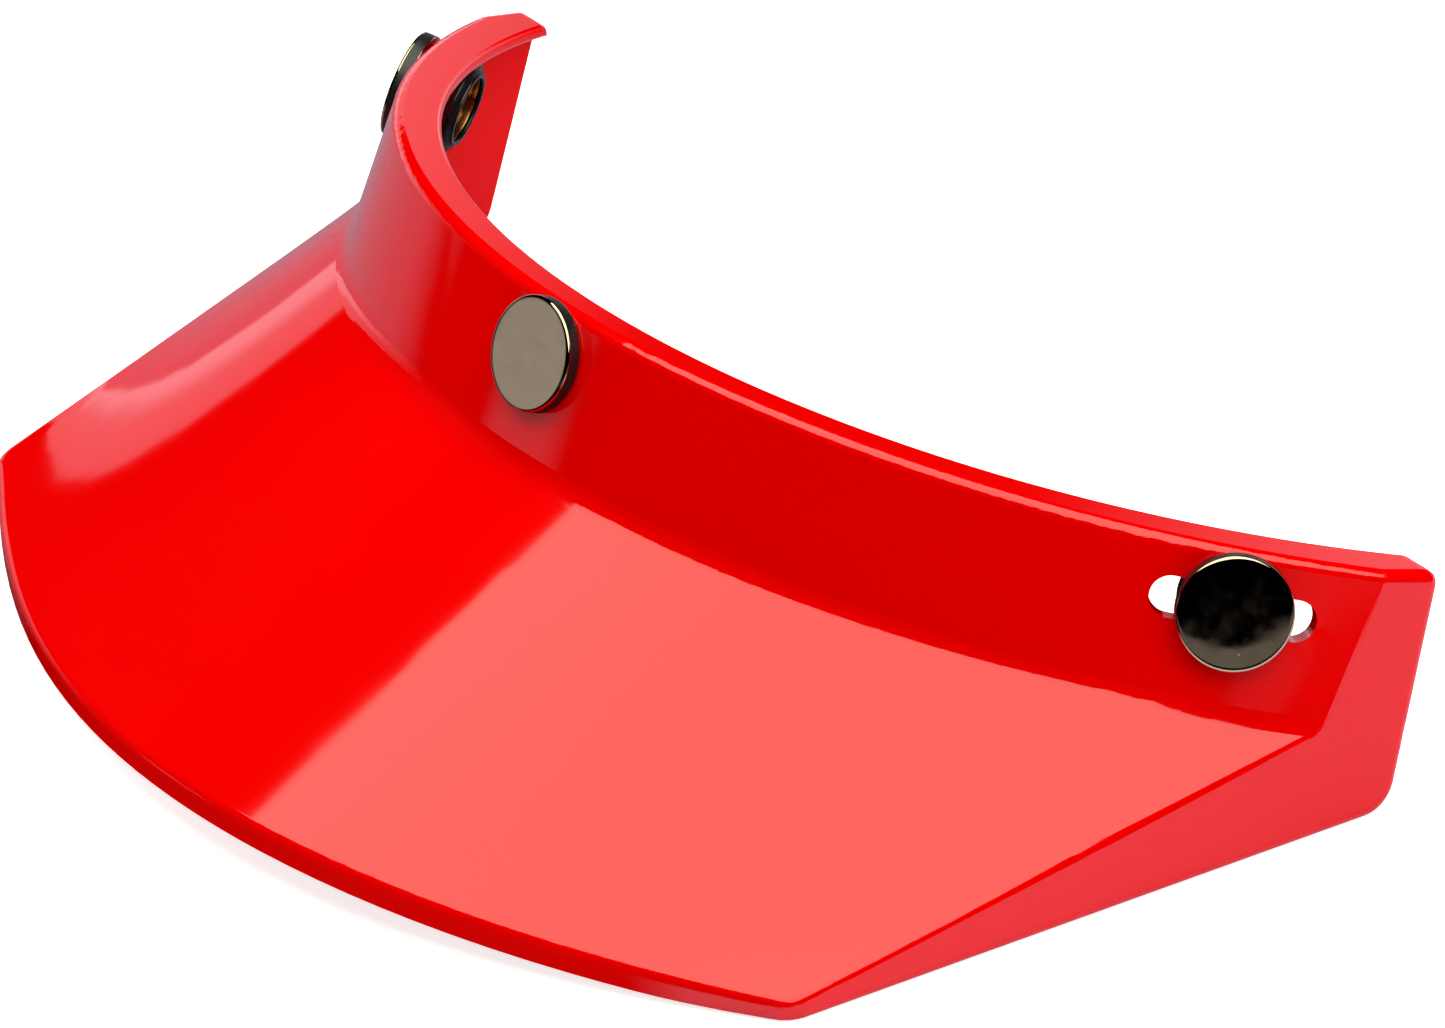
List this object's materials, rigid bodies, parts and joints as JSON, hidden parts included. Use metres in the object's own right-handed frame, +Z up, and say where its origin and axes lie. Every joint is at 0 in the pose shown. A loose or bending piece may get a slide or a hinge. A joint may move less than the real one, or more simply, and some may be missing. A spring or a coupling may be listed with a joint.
{
  "type": "helmet sun visor peak",
  "caption": "Glossy moulded sun visor peak for an open-face helmet, with press-stud sockets along its band, the outer ones sliding in slots.",
  "frame": {"origin": "centre of the bounding box's base, on the surface that the side walls' lower edges stand on", "axes": "+Z up as it stands, -Y to the front edge, +X to the wearer's left"},
  "size_m": [0.1926, 0.1278, 0.0531],
  "materials": {
    "gloss_red_plastic": "moulded, high gloss",
    "nickel_plate": "polished dark nickel",
    "black_enamel": "gloss black",
    "brass_spring": "bright drawn",
    "black_nylon": "satin moulded"
  },
  "bodies": {
    "shell": {"visor_shell": "gloss_red_plastic", "middle_cap": "nickel_plate", "middle_post": "nickel_plate", "middle_socket_base": "black_enamel", "middle_socket_cover": "black_enamel", "middle_socket_spring": "brass_spring"},
    "left_slider": {"left_outer_washer": "black_nylon", "left_inner_washer": "black_nylon"},
    "left_snap_body": {"left_cap": "nickel_plate", "left_post": "nickel_plate", "left_socket_base": "black_enamel", "left_socket_cover": "black_enamel", "left_socket_spring": "brass_spring"},
    "right_slider": {"right_outer_washer": "black_nylon", "right_inner_washer": "black_nylon"},
    "right_snap_body": {"right_cap": "nickel_plate", "right_post": "nickel_plate", "right_socket_base": "black_enamel", "right_socket_cover": "black_enamel", "right_socket_spring": "brass_spring"}
  },
  "joints": [
    {"name": "left_slide", "type": "hinge", "parent": "shell", "child": "left_slider", "pos_m": [0, 0.09607, 0.01064], "axis": [0, 0.333, 0.9429], "range_deg": [-4.34, 4.34]},
    {"name": "left_spin", "type": "hinge", "parent": "left_slider", "child": "left_snap_body", "pos_m": [0.08562, 0.03876, 0.03088], "axis": [0.8118, -0.512, 0.2808], "continuous": true},
    {"name": "right_slide", "type": "hinge", "parent": "shell", "child": "right_slider", "pos_m": [0, 0.09607, 0.01064], "axis": [0, 0.333, 0.9429], "range_deg": [-2.94, 5.74]},
    {"name": "right_spin", "type": "hinge", "parent": "right_slider", "child": "right_snap_body", "pos_m": [-0.08708, 0.04075, 0.03018], "axis": [-0.8256, -0.4931, 0.2741], "continuous": true}
  ]
}
